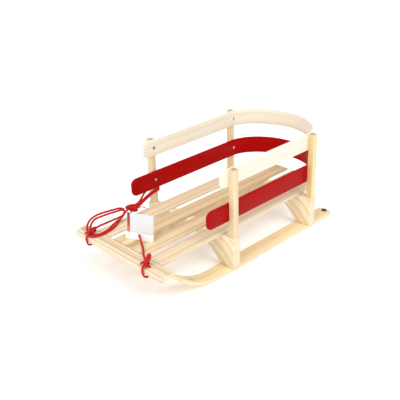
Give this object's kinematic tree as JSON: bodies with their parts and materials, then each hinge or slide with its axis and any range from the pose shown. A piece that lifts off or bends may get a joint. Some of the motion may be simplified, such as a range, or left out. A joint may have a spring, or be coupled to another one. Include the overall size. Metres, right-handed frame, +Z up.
{
  "type": "wooden toboggan",
  "caption": "Child's wooden toboggan: flat upturned runners, slatted deck on arched bolsters, wrap-around backrest of bent rails on square posts, and a red tow rope.",
  "frame": {"origin": "on the floor, in the middle of the box that the sled fills without its rope", "axes": "+X forward, the way it travels; +Y to the sled's left; +Z up"},
  "size_m": [0.7459, 0.372, 0.306],
  "materials": {
    "runner_wood": "clear-varnished bent beech, satin",
    "frame_wood": "clear-varnished beech, satin",
    "slat_wood": "clear-varnished pale wood, satin",
    "post_wood": "clear-varnished pale wood, satin",
    "rail_wood": "clear-varnished bent ash, semi-gloss",
    "red_lacquer": "red glossy lacquer on bent wood",
    "screw_steel": "zinc-plated countersunk screws and domed studs",
    "black_plastic": "glossy black moulded caps",
    "red_rope": "braided red polypropylene rope",
    "tie_plastic": "dark twist tie",
    "tag_card": "coated card, plain"
  },
  "bodies": {
    "root": {"runner_left": "runner_wood", "runner_right": "runner_wood", "front_crosspiece": "frame_wood", "slat_outer_left": "slat_wood", "slat_inner_left": "slat_wood", "slat_inner_right": "slat_wood", "slat_outer_right": "slat_wood", "front_bolster": "frame_wood", "rear_bolster": "frame_wood", "post_front_left": "post_wood", "post_front_right": "post_wood", "post_rear_left": "post_wood", "post_rear_right": "post_wood", "top_rail": "rail_wood", "red_rail": "red_lacquer", "top_rail_screws": "screw_steel", "red_rail_screws": "screw_steel", "slat_screws": "screw_steel", "runner_screws": "screw_steel", "crosspiece_screws": "screw_steel", "tail_caps": "black_plastic", "upturn_studs": "screw_steel", "rope_left": "red_rope", "rope_right": "red_rope", "rope_anchor_left": "red_rope", "rope_anchor_right": "red_rope", "knot_left": "red_rope", "knot_right": "red_rope", "bundle_knot": "red_rope", "bundle_tie": "tie_plastic", "hang_tag": "tag_card", "hang_tag_header": "tag_card"}
  },
  "joints": []
}
